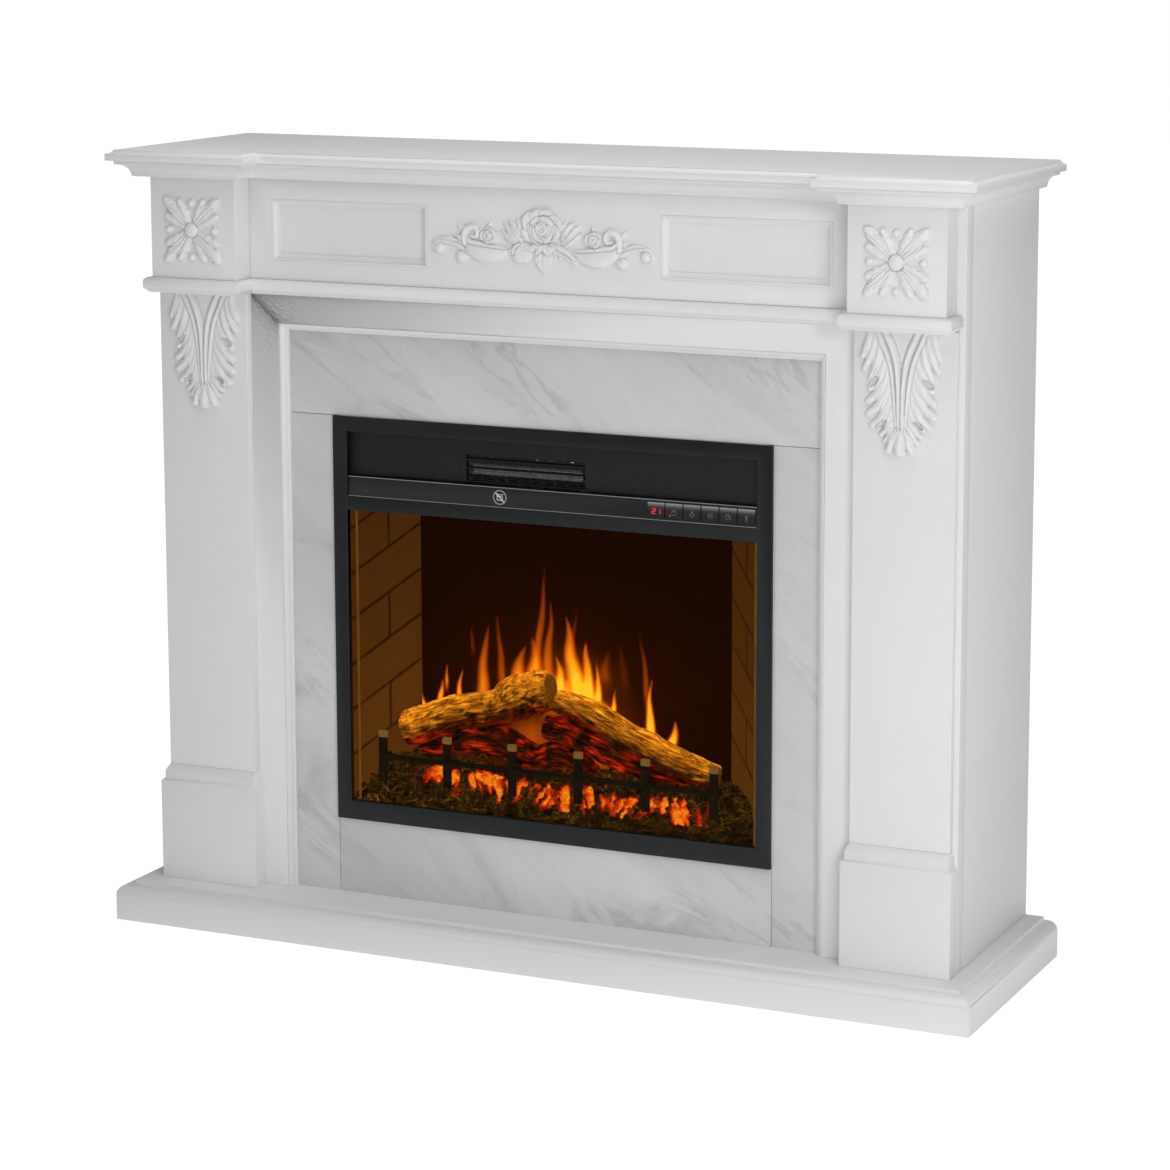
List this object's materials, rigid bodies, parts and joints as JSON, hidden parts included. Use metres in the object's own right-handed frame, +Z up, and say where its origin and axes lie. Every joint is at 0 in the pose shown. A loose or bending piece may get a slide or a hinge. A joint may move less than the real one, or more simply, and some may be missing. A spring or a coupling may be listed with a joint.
{
  "type": "electric fireplace",
  "caption": "Free-standing electric fireplace: white breakfront mantel with carved trim and marble surround, framed glass insert with log set, flame drive, blower heater and push buttons.",
  "frame": {"origin": "on the floor under the middle of the base", "axes": "+Z up, front towards -Y, +X to the right seen from the front"},
  "size_m": [1.171, 0.346, 1.004],
  "materials": {
    "bare_board": "bare fibreboard",
    "bearing_plastic": "black moulded",
    "black_metal": "matt black",
    "brick_print": "moulded brick board",
    "button_plastic": "black piano gloss with silver top",
    "charcoal_metal": "charcoal satin powder coat",
    "circuit_board": "green solder mask",
    "display_red": "dark lens with red digits",
    "ember_resin": "cast resin embers",
    "fan_aluminium": "pressed",
    "flame_acrylic": "smoked acrylic flame screen",
    "galvanised_sheet": "galvanised sheet",
    "grate_iron": "black",
    "heater_ceramic": "finned ceramic element",
    "log_resin": "cast resin bark",
    "marble": "white-grey veined marble, satin",
    "motor_steel": "zinc plated",
    "moulded_resin": "satin white paint on cast resin",
    "painted_wood": "satin white paint on fibreboard",
    "screw_steel": "zinc plated",
    "smoked_glass": "lightly tinted glass",
    "spindle_metal": "bright reflecting strips"
  },
  "bodies": {
    "fireplace": {"acanthus_leaves": "moulded_resin", "architrave_moulding": "painted_wood", "back_rails": "bare_board", "base_board": "painted_wood", "base_fascia": "painted_wood", "bead_moulding": "painted_wood", "brick_panel_left": "brick_print", "brick_panel_right": "brick_print", "cable_gland": "bearing_plastic", "casing": "painted_wood", "control_bar": "charcoal_metal", "control_board": "circuit_board", "cornice_moulding": "painted_wood", "cover_screws": "screw_steel", "display_lens": "display_red", "ember_bed": "ember_resin", "ember_logs": "ember_resin", "end_blocks": "painted_wood", "fan_housing": "galvanised_sheet", "fan_motor": "motor_steel", "fire_grate": "grate_iron", "flame_screen": "flame_acrylic", "frieze_board": "painted_wood", "frieze_garland": "moulded_resin", "frieze_panel_moulding": "painted_wood", "front_frame": "charcoal_metal", "glass_pane": "smoked_glass", "insert_back_cover": "galvanised_sheet", "insert_brackets": "galvanised_sheet", "insert_case": "galvanised_sheet", "insert_shelf": "bare_board", "led_board": "circuit_board", "leg_boards": "painted_wood", "log_left": "log_resin", "log_right": "log_resin", "marble_bottom": "marble", "marble_left": "marble", "marble_right": "marble", "marble_top": "marble", "outlet_louvre": "black_metal", "pilaster_left": "painted_wood", "pilaster_right": "painted_wood", "plinth_left": "painted_wood", "plinth_right": "painted_wood", "ptc_heater": "heater_ceramic", "rosettes": "moulded_resin", "shelf_top": "painted_wood", "side_panel_left": "painted_wood", "side_panel_right": "painted_wood", "spindle_bearing": "bearing_plastic", "spindle_motor": "motor_steel", "surround_board": "bare_board", "vent_grille": "black_metal"},
    "fan_wheel": {"fan_wheel": "fan_aluminium"},
    "flame_spindle": {"flame_spindle": "spindle_metal"},
    "button_power": {"button_power": "button_plastic"},
    "button_flame": {"button_flame": "button_plastic"},
    "button_heat": {"button_heat": "button_plastic"},
    "button_timer": {"button_timer": "button_plastic"},
    "button_temperature": {"button_temperature": "button_plastic"}
  },
  "joints": [
    {"name": "fan_spin", "type": "hinge", "parent": "fireplace", "child": "fan_wheel", "pos_m": [-0.035, -0.018, 0.616], "axis": [1, 0, 0], "continuous": true},
    {"name": "flame_spin", "type": "hinge", "parent": "fireplace", "child": "flame_spindle", "pos_m": [0, 0.025, 0.2295], "axis": [1, 0, 0], "continuous": true},
    {"name": "power_press", "type": "slide", "parent": "fireplace", "child": "button_power", "axis": [0, 1, 0], "range_m": [0, 0.0012], "stiffness_N_per_m": 500, "springref_m": -0.0005},
    {"name": "flame_press", "type": "slide", "parent": "fireplace", "child": "button_flame", "axis": [0, 1, 0], "range_m": [0, 0.0012], "stiffness_N_per_m": 500, "springref_m": -0.0005},
    {"name": "heat_press", "type": "slide", "parent": "fireplace", "child": "button_heat", "axis": [0, 1, 0], "range_m": [0, 0.0012], "stiffness_N_per_m": 500, "springref_m": -0.0005},
    {"name": "timer_press", "type": "slide", "parent": "fireplace", "child": "button_timer", "axis": [0, 1, 0], "range_m": [0, 0.0012], "stiffness_N_per_m": 500, "springref_m": -0.0005},
    {"name": "temperature_press", "type": "slide", "parent": "fireplace", "child": "button_temperature", "axis": [0, 1, 0], "range_m": [0, 0.0012], "stiffness_N_per_m": 500, "springref_m": -0.0005}
  ]
}
